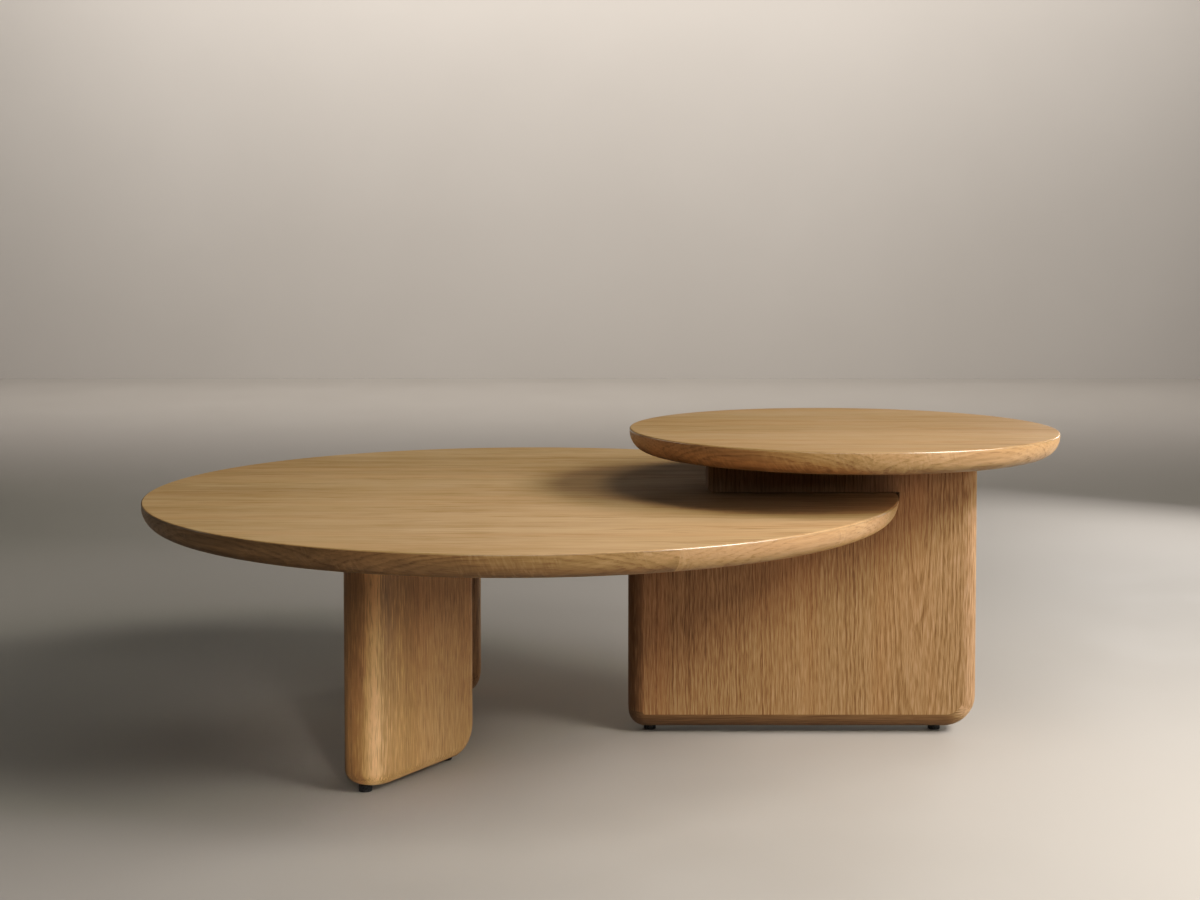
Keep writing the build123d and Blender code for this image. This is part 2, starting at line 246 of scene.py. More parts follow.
        # ray flecks: short lenses that cross the grain, in patches
        gg, aa, ddp = t.split(p)
        sh = t.math("ADD", gg, t.math("MULTIPLY", aa, fleck_tilt))
        fv = t.join(t.math("MULTIPLY", sh, 1 / 4.2), t.math("MULTIPLY", aa, 1 / 15.0), t.math("MULTIPLY", ddp, 1 / 26.0))
        patch = t.step(t.noise(t.vmath("MULTIPLY", p, (1 / 70, 1 / 60, 1 / 120)), 1.0, 0.5), 0.48, 0.60)
        fl = t.math("MULTIPLY", t.step(t.noise(fv, 1.0, 0.5, 0.25), 0.50, 0.64), patch)
        col = t.mix(t.math("MULTIPLY", fl, fleck), col, (light[0] * 1.12, light[1] * 1.14, light[2] * 1.18))
        fd = t.noise(t.vmath("ADD", fv, (7.3, 2.1, 4.4)), 1.0, 0.5, 0.25)
        fd = t.math("MULTIPLY", t.step(fd, 0.52, 0.66), patch)
        col = t.mix(t.math("MULTIPLY", fd, fleck), col, (dark[0] * 0.95, dark[1] * 0.92, dark[2] * 0.9))
        height = t.math("ADD", height, t.math("MULTIPLY", fl, 0.15))
    col = t.mix(t.math("MULTIPLY", pores, pore_k), col, pore)
    t.set("Base Color", col)
    # faint handling marks in the finish
    worn = t.noise(t.vmath("MULTIPLY", p, (1 / 85, 1 / 85, 1 / 85)), 4.0, 0.6)
    r = t.math("ADD", t.math("MULTIPLY", fib, 0.35), t.math("MULTIPLY", worn, 0.65))
    r = t.step(r, 0.32, 0.68, rough[0], rough[1])
    t.set("Roughness", t.math("ADD", r, t.math("MULTIPLY", pores, 0.16)))
    height = t.math("SUBTRACT", height, t.math("ADD", t.math("MULTIPLY", pores, 0.9), t.math("MULTIPLY", early, 0.25)))
    nrm = t.bump(height, bump, 0.0005)
    und = t.noise(t.vmath("MULTIPLY", p, (1 / 210, 1 / 130, 1 / 130)), 1.0, 0.4)
    t.set("Normal", t.bump(und, sway, 0.02, nrm))
    t.set("IOR", 1.48)
    t.set("Specular IOR Level", spec)
    t.set("Diffuse Roughness", matt)
    if coat:
        t.set("Coat Weight", coat[0])
        t.set("Coat Roughness", coat[1])
        t.set("Coat IOR", coat[2])
    return t.mat


def along_x(offset=(0.0, 0.0, 0.0)):
    """Grain along X, face up."""
    def coords(t):
        return t.vmath("ADD", t.obj_mm(), offset)
    return coords


def along_z(offset=(0.0, 0.0, 0.0)):
    """Grain upright, face towards Y."""
    def coords(t):
        x, y, z = t.split(t.vmath("ADD", t.obj_mm(), offset))
        return t.join(z, x, y)
    return coords


def along_edge(offset=(0.0, 0.0, 0.0)):
    """Grain along X on a strip seen from the front."""
    def coords(t):
        x, y, z = t.split(t.vmath("ADD", t.obj_mm(), offset))
        return t.join(x, z, y)
    return coords


def by_board(t):
    """Coordinates of each rim board, kept on the mesh."""
    n = t.add("ShaderNodeAttribute", attribute_name="board")
    return n.outputs["Vector"]


# per-point shift kept on the mesh: random board tone plus painted shade or a painted highlight
def read_tone_and_painted_light(t):
    n = t.add("ShaderNodeAttribute", attribute_name="tone_and_painted_light")
    return n.outputs["Fac"]


TOP_LOOK = dict(ring=5.0, pith=18.0, depth=34.0, taper=0.012, wander=7.0, wavy=0.5, ring_k=0.14, fibre_k=0.62, band_k=0.36,
                pore_k=0.36, pore_size=(80.0, 4.0), band=(2000.0, 44.0), leaf=118.0, leaf_k=0.22,
                light=(0.505, 0.346, 0.184), mid=(0.43, 0.277, 0.138), dark=(0.295, 0.172, 0.074), rough=(0.50, 0.64),
                bump=0.22, spec=0.02, matt=0.2, mott_k=0.03, run=3.0, sway=0.012)
M_TOP = oak("oak_top", along_x((0.0, 40.0, 0.0)), **TOP_LOOK)
M_TOP2 = oak("oak_top_small", along_x((613.0, 271.0, 0.0)),
             **{**TOP_LOOK, "light": (0.385, 0.265, 0.137), "mid": (0.327, 0.211, 0.104), "dark": (0.224, 0.131, 0.056), "shift": 0.08})
M_BACK = oak("oak_underside", along_x((211.0, 517.0, 0.0)), **{**TOP_LOOK, "shift": 0.12, "rough": (0.6, 0.75), "leaf": 140.0})
RIM_LOOK = dict(ring=4.2, pith=400.0, depth=120.0, taper=0.02, wander=6.0, wavy=1.0,
                ring_k=0.20, fibre_k=0.46, band_k=0.30, pore_k=0.45, pore_size=(26.0, 1.9), band=(360.0, 12.0), fleck=0.20,
                tone_and_painted_light=read_tone_and_painted_light, light=(0.575, 0.378, 0.200), mid=(0.465, 0.282, 0.130), dark=(0.215, 0.117, 0.043),
                rough=(0.32, 0.44), bump=0.2, spec=0.45, matt=0.5, mott_k=0.10, run=2.0, sway=0.02)
# the rim material takes the painted shade of the rims' lower curve from the mesh
M_RIM = oak("oak_rim", by_board, **RIM_LOOK)
# the eased arris, rubbed smooth and thick with lacquer
M_EDGE = oak("oak_rim_arris", by_board, **{**RIM_LOOK, "light": (0.56, 0.38, 0.21), "mid": (0.46, 0.29, 0.14), "rough": (0.26, 0.36), "bump": 0.1,
                                           "coat": (1.0, 0.14, 1.7)})
LEG_LOOK = dict(wander=8.0, wavy=0.7, ring_k=0.16, fibre_k=0.34, band_k=0.26, pore_k=0.5, pore_size=(17.0, 0.95), band=(800.0, 34.0),
                light=(0.51, 0.322, 0.175), mid=(0.405, 0.235, 0.114), dark=(0.235, 0.123, 0.052), pore=(0.15, 0.072, 0.030),
                line_k=2.1, line=(22.0, 0.90), mott_k=0.10, run=2.0, sway=0.02)
M_SLAB = oak("oak_slab", along_z((0.0, 0.0, 0.0)), ring=6.0, pith=563.0, depth=4.0, taper=0.085, **{**LEG_LOOK, "ring_k": 0.42, "shift": 0.02})
M_LEG = oak("oak_leg", along_z((640.0, 300.0, 70.0)), pith=300.0, depth=160.0, taper=0.01,
            **{**LEG_LOOK, "line": (26.0, 1.10), "line_k": 1.9, "light": (0.565, 0.356, 0.176), "mid": (0.455, 0.266, 0.116), "shift": -0.06,
               "spec": 0.7, "rough": (0.42, 0.52)})
# the leg's nose lipping: its very pale light colour and the pale band read from the mesh are a painted highlight for
# the lamps' sheen on the curve
M_NOSE_PAINTED_HIGHLIGHT = oak("oak_leg_nose_painted_highlight", along_z((1210.0, 430.0, 350.0)), ring=3.6, pith=980.0, depth=-300.0, taper=0.02, tone_and_painted_light=read_tone_and_painted_light,
             **{**LEG_LOOK, "wander": 5.0, "line": (26.0, 1.15), "line_k": 1.5, "light": (0.78, 0.505, 0.238), "mid": (0.45, 0.263, 0.107), "dark": (0.28, 0.15, 0.055),
                "shift": 0.12, "spec": 0.8, "rough": (0.40, 0.50)})
# the outer end's lipping: a solid strip of the same wood as the inner end's, shifted lighter as painted light on the
# end that faces the key
M_END_LIP_PAINTED_LIGHT = oak("oak_lipping", along_z((1210.0, 430.0, 350.0)), ring=3.6, pith=980.0, depth=-300.0, taper=0.02,
            **{**LEG_LOOK, "wander": 5.0, "line": (26.0, 1.8), "shift": -0.14})
# the inner end's lipping: the same wood shifted much darker, painted shade on the end turned away from the light
M_INNER_LIP_PAINTED_SHADE = oak("oak_lipping_inner_painted_shade", along_z((310.0, 130.0, 50.0)), ring=3.6, pith=980.0, depth=-300.0, taper=0.02,
             **{**LEG_LOOK, "wander": 5.0, "line": (26.0, 1.8), "shift": 0.62})
# the bottom lipping, a cross-grain strip: its mid and dark colours are painted dark as the shade under the slab,
# lifted where the outer corner turns up
M_LOW_LIP_PAINTED_SHADE = oak("oak_lipping_low_painted_shade", along_edge((310.0, 700.0, 90.0)), ring=3.6, pith=620.0, depth=20.0, taper=0.02, tone_and_painted_light=read_tone_and_painted_light,
             **{**LEG_LOOK, "wander": 5.0, "line": (40.0, 1.8), "line_k": 0.8, "light": (0.56, 0.352, 0.19), "mid": (0.25, 0.147, 0.070), "dark": (0.14, 0.074, 0.031),
                "shift": 0.22})


# ---------------------------------------------------------- other materials
def m_board():
    t = Mat("raw_board")
    p = t.obj_mm()
    chip = t.add("ShaderNodeTexVoronoi", feature="F1")
    t.put(chip.inputs["Vector"], t.vmath("MULTIPLY", p, (1 / 4.0, 1 / 4.0, 1 / 1.6)))
    chip.inputs["Scale"].default_value = 1.0
    n = t.noise(t.vmath("MULTIPLY", p, (1 / 30, 1 / 30, 1 / 9)), 4.0, 0.6)
    k = t.math("ADD", t.math("MULTIPLY", chip.outputs["Distance"], 0.55), t.math("MULTIPLY", n, 0.6))
    t.set("Base Color", t.ramp(k, [(0.1, (0.30, 0.20, 0.11)), (0.5, (0.46, 0.34, 0.21)), (0.95, (0.58, 0.45, 0.30))]))
    t.set("Roughness", t.step(n, 0.3, 0.7, 0.78, 0.95))
    t.set("Normal", t.bump(k, 0.35, 0.0004))
    return t.mat


def m_steel():
    t = Mat("zinc_steel")
    p = t.obj_mm()
    n = t.noise(t.vmath("MULTIPLY", p, (1 / 3.0, 1 / 3.0, 1 / 3.0)), 4.0, 0.6)
    brush = t.noise(t.vmath("MULTIPLY", p, (1 / 9.0, 1 / 9.0, 1 / 0.12)), 2.0, 0.6)
    iris = t.noise(t.vmath("MULTIPLY", p, (1 / 14.0, 1 / 14.0, 1 / 14.0)), 2.0, 0.5)
    col = t.ramp(n, [(0.25, (0.30, 0.30, 0.31)), (0.6, (0.50, 0.50, 0.51)), (0.9, (0.62, 0.62, 0.63))])
    col = t.mix(t.step(iris, 0.5, 0.75, 0.0, 0.30), col, (0.52, 0.47, 0.36))
    t.set("Base Color", col)
    t.set("Metallic", 1.0)
    t.set("Roughness", t.step(brush, 0.3, 0.7, 0.26, 0.46))
    t.set("Normal", t.bump(t.math("ADD", n, brush), 0.12, 0.0001))
    return t.mat


def m_plate():
    t = Mat("black_powder_coat")
    p = t.obj_mm()
    v = t.add("ShaderNodeTexVoronoi", feature="SMOOTH_F1")
    t.put(v.inputs["Vector"], t.vmath("MULTIPLY", p, (1 / 0.9, 1 / 0.9, 1 / 0.9)))
    v.inputs["Scale"].default_value = 1.0
    n = t.noise(t.vmath("MULTIPLY", p, (1 / 40, 1 / 40, 1 / 40)), 4.0, 0.65)
    t.set("Base Color", t.ramp(n, [(0.3, (0.020, 0.020, 0.021)), (0.7, (0.036, 0.036, 0.038))]))
    t.set("Roughness", t.step(n, 0.3, 0.7, 0.42, 0.60))
    t.set("Normal", t.bump(v.outputs["Distance"], 0.35, 0.0002))
    return t.mat


def m_foot():
    t = Mat("foot_black")
    p = t.obj_mm()
    n = t.noise(t.vmath("MULTIPLY", p, (1 / 2.2, 1 / 2.2, 1 / 2.2)), 4.0, 0.6)
    s = t.noise(t.vmath("MULTIPLY", p, (1 / 5.0, 1 / 5.0, 1 / 0.35)), 3.0, 0.6)
    x, y, z = t.split(p)
    dust = t.math("MULTIPLY", t.step(z, 4.0, 0.2), t.step(n, 0.42, 0.7))
    col = t.ramp(s, [(0.3, (0.010, 0.010, 0.011)), (0.7, (0.021, 0.021, 0.022))])
    t.set("Base Color", t.mix(t.math("MULTIPLY", dust, 0.35), col, (0.11, 0.10, 0.09)))
    t.set("Roughness", t.math("ADD", t.step(n, 0.3, 0.7, 0.20, 0.34), t.math("MULTIPLY", dust, 0.3)))
    t.set("Normal", t.bump(t.math("ADD", s, n), 0.10, 0.0001))
    t.set("IOR", 1.5)
    return t.mat


def m_felt():
    t = Mat("felt")
    p = t.obj_mm()
    n = t.noise(t.vmath("MULTIPLY", p, (1 / 0.9, 1 / 0.9, 1 / 0.9)), 4.0, 0.7, 0.6)
    m = t.noise(t.vmath("MULTIPLY", p, (1 / 9, 1 / 9, 1 / 9)), 3.0, 0.6)
    k = t.math("ADD", t.math("MULTIPLY", n, 0.7), t.math("MULTIPLY", m, 0.3))
    t.set("Base Color", t.ramp(k, [(0.25, (0.035, 0.029, 0.024)), (0.75, (0.125, 0.105, 0.088))]))
    t.set("Roughness", t.step(n, 0.3, 0.7, 0.88, 1.0))
    t.set("Sheen Weight", 0.5)
    t.set("Normal", t.bump(n, 0.8, 0.0006))
    return t.mat


M_BOARD, M_STEEL, M_PLATE, M_FOOT, M_FELT = m_board(), m_steel(), m_plate(), m_foot(), m_felt()


# -------------------------------------------------------------------- meshes
def make(name, verts, faces, mats, face_mat=None, at=(0.0, 0.0), turn=0.0, attrs=None):
    """Mesh object from millimetres, smooth with area-weighted normals."""
    me = bpy.data.meshes.new(name)
    me.from_pydata([(x * MM, y * MM, z * MM) for x, y, z in verts], [], faces)
    for m in mats:
        me.materials.append(m)
    if face_mat:
        me.polygons.foreach_set("material_index", face_mat)
    me.polygons.foreach_set("use_smooth", [True] * len(me.polygons))
    for an, (kind, key, vals) in (attrs or {}).items():
        at_ = me.attributes.new(an, kind, "POINT")
        flat = [c for v in vals for c in v] if kind == "FLOAT_VECTOR" else list(vals)
        at_.data.foreach_set(key, flat)
    me.update()
    ob = bpy.data.objects.new(name, me)
    bpy.context.scene.collection.objects.link(ob)
    ob.location = (at[0] * MM, at[1] * MM, 0.0)
    ob.rotation_euler = (0.0, 0.0, math.radians(turn))
    wn = ob.modifiers.new("normals", "WEIGHTED_NORMAL")
    wn.mode = "FACE_AREA"
    wn.weight = 50
    wn.keep_sharp = True
    return ob


def mark_sharp(ob, degrees):
    """Edges folded by more than this are drawn sharp."""
    me = ob.data
    normals = [p.normal.copy() for p in me.polygons]
    by_edge = {}
    for p in me.polygons:
        for k in p.edge_keys:
            by_edge.setdefault(k, []).append(p.index)
    lim = math.cos(math.radians(degrees))
    sharp = []
    for e in me.edges:
        fs = by_edge.get(tuple(sorted(e.vertices)), [])
        sharp.append(len(fs) != 2 or normals[fs[0]].dot(normals[fs[1]]) < lim)
    at_ = me.attributes.get("sharp_edge") or me.attributes.new("sharp_edge", "BOOLEAN", "EDGE")
    at_.data.foreach_set("value", sharp)
    me.update()


def arc(cx, cy, r, a0, a1, n):
    return [(cx + r * math.cos(math.radians(a0 + (a1 - a0) * i / n)), cy + r * math.sin(math.radians(a0 + (a1 - a0) * i / n))) for i in range(n + 1)]


def veneer_disc(name, cx, r, z_top, mat, seg):
    """Face veneer of a top with its eased edge."""
    a0 = math.degrees(math.asin(1.0 - VENEER / EASE))
    prof = arc(r - EASE, z_top - EASE, EASE, a0, 90, 6)
    prof += [(r - 6.0, z_top)]
    verts, faces = [], []
    n = len(prof)
    for i in range(seg):
        c, s = math.cos(2 * math.pi * i / seg), math.sin(2 * math.pi * i / seg)
        verts += [(pr * c, pr * s, pz) for pr, pz in prof]
    for i in range(seg):
        j = (i + 1) % seg
        for k in range(n - 1):
            faces.append((i * n + k, j * n + k, j * n + k + 1, i * n + k + 1))
    faces.append(tuple(i * n + n - 1 for i in range(seg)))
    faces.append(tuple(i * n for i in reversed(range(seg))))
    ob = make(name, verts, faces, [mat], at=(cx, 0.0))
    mark_sharp(ob, 60)
    return ob


def rim(name, cx, r, z_top, segs, first, mat, steps, tones):
    """Rounded solid rim in butted boards, each with its own grain and random tone; the lower curve and underside are
    painted darker as shade.
    """
    zb, zt, zs = z_top - TOP_T, z_top - VENEER, z_top - RIM_UP
    b = zs - zb
    prof = list(reversed(arc(r - EASE, z_top - EASE, EASE, 0, math.degrees(math.asin(1.0 - VENEER / EASE)), 6))) + [(r, zs)]
    eased = 6
    # painted shade: the rim grows darker down its lower curve and over the underside
    painted_rim_shade = [0.0] * len(prof) + [0.95 * min(max((90 * i / 22 - 22.0) / 62.0, 0.0), 1.0) ** 1.4 for i in range(1, 23)] + [0.95, 0.95, 0.0]
    prof += [(r - RIM_A + RIM_A * math.cos(math.radians(x)), zs - b * math.sin(math.radians(x))) for x in [90 * i / 22 for i in range(1, 23)]]
    prof += [(r - RIM_A - 4.0, zb), (r - BAND_W, zb), (r - BAND_W, zt)]
    n = len(prof)
    verts, faces, fm, board, tone_and_painted_light = [], [], [], [], []
    width = 360.0 / segs
    for s in range(segs):
        base = len(verts)
        a0 = first + s * width
        mid = math.radians(a0 + width / 2)
        tx, ty, nx, ny = -math.sin(mid), math.cos(mid), math.cos(mid), math.sin(mid)
        for i in range(steps + 1):
            a = math.radians(a0 + width * i / steps)
            for (pr, pz), rim_shade in zip(prof, painted_rim_shade):
                x, y = pr * math.cos(a), pr * math.sin(a)
                verts.append((x, y, pz))
                board.append((x * tx + y * ty + 1731.0 * s, pz - z_top + 13.0 * ((s * 5) % 7), (x * nx + y * ny) - r + 19.0 * ((s * 3) % 5)))
                # each board's random tone plus the painted shade of the lower curve
                tone_and_painted_light.append(tones[s % len(tones)] + rim_shade)
        for i in range(steps):
            for k in range(n):
                m = (k + 1) % n
                faces.append((base + i * n + k, base + i * n + m, base + (i + 1) * n + m, base + (i + 1) * n + k))
                fm.append(1 if k < eased else 0)
        faces.append(tuple(base + k for k in reversed(range(n))))
        faces.append(tuple(base + steps * n + k for k in range(n)))
        fm += [0, 0]
    ob = make(name, verts, faces, [mat, M_EDGE], fm, at=(cx, 0.0),
              attrs={"board": ("FLOAT_VECTOR", "vector", board), "tone_and_painted_light": ("FLOAT", "value", tone_and_painted_light)})
    mark_sharp(ob, 50)
    return ob


def leg(name, deg, mats):
    """Radial slab leg, drawn along +X from the large top's centre.
    Built as level slices: bull-nosed outer end, rounded bottom and inner end."""
    top = LARGE_Z - TOP_T
    h = HALF_T - LEG_EDGE
    xn = LEG_OUT - HALF_T
    xc, zc = LEG_IN + LEG_CORNER, BOTTOM + LEG_CORNER
    levels = [BOTTOM + LEG_EDGE * (1 - math.cos(math.radians(90 * i / 14))) for i in range(15)]
    levels += [BOTTOM + LEG_EDGE + (LEG_CORNER - LEG_EDGE) * i / 6 for i in range(1, 7)]
    levels += [zc + 3.0] + [zc + 3.0 + (top - zc - 3.0) * i / 8 for i in range(1, 9)]
    joint = xn - 52.0
    na, nn = 14, 40
    verts, ring_tags, tone_and_painted_light, n = [], [], [], 0
    for z in levels:
        dz = z - BOTTOM
        t_max = LEG_EDGE if dz >= LEG_EDGE else math.sqrt(max(LEG_EDGE ** 2 - (LEG_EDGE - dz) ** 2, 0.0))
        rho = h + t_max

        def x_left(t):
            q = math.sqrt(max(LEG_EDGE ** 2 - t * t, 0.0))
            if z >= zc:
                return LEG_IN + LEG_EDGE - q
            rr = LEG_CORNER - LEG_EDGE + q
            return xc - math.sqrt(max(rr * rr - (zc - z) ** 2, 0.0))

        half = [(x_left(0.0), 0.0, "end"), (x_left(0.0), h, "end")]
        for i in range(1, na + 1):
            t = t_max * math.sin(math.radians(90 * i / na))
            half.append((x_left(t), h + t, "end"))
        x0 = half[-1][0]
        for xx, tag in ((x0 + 3.0, "side"), (joint - 0.7, "side"), (joint, "groove"), (joint + 0.7, "nose"), (xn - 26.0, "nose"), (xn - 2.0, "nose"), (xn, "nose")):
            half.append((max(xx, x0 + 0.01) if tag == "side" else xx, rho - (0.55 if tag == "groove" and rho > 30 else 0.0), "nose" if tag == "groove" else tag))
        for i in range(1, nn // 2 + 1):
            a = math.radians(90 - 90 * i / (nn // 2))
            half.append((xn + rho * math.cos(a), rho * math.sin(a), "nose"))
        loop = half + [(x, -y, tg) for x, y, tg in reversed(half[1:-1])]
        n = len(loop)
        verts += [(x, y, z) for x, y, tg in loop]
        ring_tags = [tg for x, y, tg in loop]
        for x, y, tg in loop:
            # angle off the leg's own axis; a pale band towards the face is painted here as a highlight on the nose
            ang = math.degrees(math.atan2(y, x - xn)) if x > xn else 90.0 + (xn - x)
            tone_and_painted_light.append(-0.70 * math.exp(-((ang - 40.0) / 17.0) ** 2))
    faces, fm = [], []
    hn = len(half)
    for lv in range(len(levels) - 1):
        for k in range(n):
            m = (k + 1) % n
            faces.append((lv * n + k, lv * n + m, (lv + 1) * n + m, (lv + 1) * n + k))
            ta, tb = ring_tags[k], ring_tags[m]
            # the nose faces take the pale nose material, a painted highlight
            fm.append(1 if ta == tb == "nose" else 0)
    faces.append(tuple(reversed(range(n))))
    fm.append(0)
    last = (len(levels) - 1) * n
    faces.append(tuple(last + k for k in range(n)))
    fm.append(0)
    # the loop runs clockwise seen from above, so turn every face over
    faces = [tuple(reversed(f)) for f in faces]
    ob = make(name, verts, faces, mats, fm, at=(LARGE_X, 0.0), turn=deg, attrs={"tone_and_painted_light": ("FLOAT", "value", tone_and_painted_light)})
    mark_sharp(ob, 50)
    return ob


def slab(name, mats):
    """The notched slab, drawn from the large top's centre."""
    top = SMALL_Z - TOP_T
    lip = 1.0
    # outer chain, down the inner end, along the bottom, up the outer end
    outer = []   # x, z, nx, nz, tag
    for z in (SLOT_LOW - lip, 280.0, 200.0, 120.0, BOTTOM + CORNER_IN + 3.0):
        outer.append((SLAB_IN, z, -1.0, 0.0, "inner"))
    for i in range(0, 13):
        a = math.radians(180 + 90 * i / 12)
        outer.append((SLAB_IN + CORNER_IN + CORNER_IN * math.cos(a), BOTTOM + CORNER_IN + CORNER_IN * math.sin(a), math.cos(a), math.sin(a), "low"))
    for x in (SLAB_IN + CORNER_IN + 3.0, 260.0, 340.0, 420.0, 500.0, 560.0, SLAB_OUT - CORNER_OUT - 3.0):
        outer.append((x, BOTTOM, 0.0, -1.0, "low"))
    for i in range(0, 17):
        a = math.radians(270 + 90 * i / 16)
        outer.append((SLAB_OUT - CORNER_OUT + CORNER_OUT * math.cos(a), BOTTOM + CORNER_OUT + CORNER_OUT * math.sin(a), math.cos(a), math.sin(a), "low" if i < 12 else "end"))
    for z in (BOTTOM + CORNER_OUT + 3.0, 120.0, 200.0, 280.0, 340.0, top - 3.0, top):
        outer.append((SLAB_OUT, z, 1.0, 0.0, "end"))
    # inner chain, along the ledge, round the slot, back along the arm, up its end
    inner = []   # x, z, nx, nz, rounding
    root, bc, be = 0.8, 6.0, 5.4
    x0, z1 = SLOT_END - STOP_A, SLOT_LOW + STOP_B
    for x in (SLAB_IN + EDGE_R, 200.0, 280.0, 360.0, 440.0, x0 - 3.0):
        inner.append((x, SLOT_LOW, 0.0, 1.0, lip))
    for i in range(0, 17):
        # the closed end follows the rim's curve
        a = math.radians(270 + 90 * i / 16)
        nx, nz = -math.cos(a) / STOP_A, -math.sin(a) / STOP_B
        k = math.hypot(nx, nz)
        inner.append((x0 + STOP_A * math.cos(a), z1 + STOP_B * math.sin(a), nx / k, nz / k, lip))
    for i in range(0, 5):
        a = math.radians(0 + 90 * i / 4)
        inner.append((SLOT_END - root + root * math.cos(a), SLOT_HIGH - root + root * math.sin(a), -math.cos(a), -math.sin(a), lip))
    for x in (SLOT_END - root - 2.0, 440.0, 360.0, 300.0, ARM_IN + bc + 2.0):
        inner.append((x, SLOT_HIGH, 0.0, -1.0, lip))
    for i in range(0, 9):
        a = math.radians(270 - 90 * i / 8)
        inner.append((ARM_IN + bc + bc * math.cos(a), SLOT_HIGH + bc + bc * math.sin(a), math.cos(a), math.sin(a), lip + (be - lip) * i / 8))
    for z in (SLOT_HIGH + bc + 2.0, top - 3.0, top):
        inner.append((ARM_IN, z, -1.0, 0.0, be))
    na, nb = 14, 4
    verts, faces, fm = [], [], []

    def section(x, z, nx, nz, r, n):
        """From the front face over the edge to the back face."""
        out = []
        for i in range(n + 1):
            a = math.radians(90 * i / n)
            k = r * (1 - math.sin(a))
            out.append((x - nx * k, -HALF_T + r * (1 - math.cos(a)), z - nz * k))
        return out + [(px, -py, pz) for px, py, pz in reversed(out)]

    def strip(chain, n, flip):
        rows = []
        for c in chain:
            sec = section(c[0], c[1], c[2], c[3], c[4] if isinstance(c[4], float) else EDGE_R, n)
            rows.append(list(range(len(verts), len(verts) + len(sec))))
            verts.extend(sec)
        for i in range(len(rows) - 1):
            tag = chain[i + 1][4] if chain[i][4] == "low" else chain[i][4]
            for k in range(len(rows[i]) - 1):
                q = (rows[i][k], rows[i][k + 1], rows[i + 1][k + 1], rows[i + 1][k])
                faces.append(tuple(reversed(q)) if flip else q)
                # the outer end takes the lighter lipping (painted light), the bottom the dark lipping (painted shade),
                # the inner end the dark copy (painted shade)
                fm.append({"end": 1, "low": 2, "inner": 3}.get(tag, 0))
        return rows

    ro = strip(outer, na, True)
    ri = strip(inner, nb, True)
    # the ledge's rounded end: its lip is carried round the plan curve
    rings = [ro[0]]
    plan = section(SLAB_IN, SLOT_LOW, -1.0, 0.0, EDGE_R, na)
    m = len(plan)
    for i in range(1, nb + 1):
        a = math.radians(90 * i / nb)
        inset, dz = lip * (1 - math.cos(a)), lip * math.sin(a)
        row = []
        for j, (x, y, z) in enumerate(plan):
            if j <= na:
                th = math.radians(90 * j / na)
                nx, ny = -math.sin(th), -math.cos(th)
            else:
                th = math.radians(90 * (m - 1 - j) / na)
                nx, ny = -math.sin(th), math.cos(th)
            row.append((x - nx * inset, y - ny * inset, SLOT_LOW - lip + dz))
        idx = list(range(len(verts), len(verts) + m))
        verts.extend(row)
        rings.append(idx)
    for i in range(len(rings) - 1):
        for j in range(m - 1):
            faces.append((rings[i][j], rings[i][j + 1], rings[i + 1][j + 1], rings[i + 1][j]))
            fm.append(3)
    # join the ring ends to the ledge's first section
    first = ri[0]
    faces.append(tuple(rings[-1] + [first[nb + 1], first[nb]]))
    fm.append(0)
    # faces
    front = [r[0] for r in ro] + [r[0] for r in reversed(ri)]
    back = [r[-1] for r in ro] + [r[-1] for r in reversed(ri)]
    faces.append(tuple(front))
    fm.append(0)
    faces.append(tuple(reversed(back)))
    fm.append(0)
    faces.append(tuple(ro[-1] + list(reversed(ri[-1]))))
    fm.append(0)
    # the low strip's painted shade is lifted as the outer corner rises to face the light
    tone_and_painted_light = [0.0] * len(verts)
    for c, row in zip(outer, ro):
        if c[0] > SLAB_OUT - CORNER_OUT:
            f = min(math.degrees(math.atan2(c[2], -c[3])) / 58.0, 1.0)
            for v in row:
                tone_and_painted_light[v] = -0.56 * f * f * (3.0 - 2.0 * f)
    ob = make(name, verts, faces, mats, fm, at=(LARGE_X, 0.0), attrs={"tone_and_painted_light": ("FLOAT", "value", tone_and_painted_light)})
    return ob


def tidy(ob, dist=0.00002):
    """Weld the seams and make all faces point outwards."""
    import bmesh
    bm = bmesh.new()
    bm.from_mesh(ob.data)
    bmesh.ops.remove_doubles(bm, verts=bm.verts, dist=dist)
    bmesh.ops.dissolve_degenerate(bm, dist=dist * 0.2, edges=bm.edges)
    bmesh.ops.recalc_face_normals(bm, faces=bm.faces)
    open_edges = sum(1 for e in bm.edges if len(e.link_faces) != 2)
    bm.to_mesh(ob.data)
    bm.free()
    ob.data.update()
    return open_edges


def turned(name, prof, mat, seg, at):
    """Closed lathe piece from (radius, height) points, bottom to top, on the axis at both ends."""
    verts, faces = [], []
    n = len(prof)
    for i in range(seg):
        c, s = math.cos(2 * math.pi * i / seg), math.sin(2 * math.pi * i / seg)
        verts += [(r * c, r * s, z) for r, z in prof]
    for i in range(seg):
        j = (i + 1) % seg
        for k in range(n - 1):
            faces.append((i * n + k, j * n + k, j * n + k + 1, i * n + k + 1))
    faces.append(tuple(i * n for i in reversed(range(seg))))
    faces.append(tuple(i * n + n - 1 for i in range(seg)))
    ob = make(name, verts, faces, [mat], at=at)
    mark_sharp(ob, 40)
    return ob


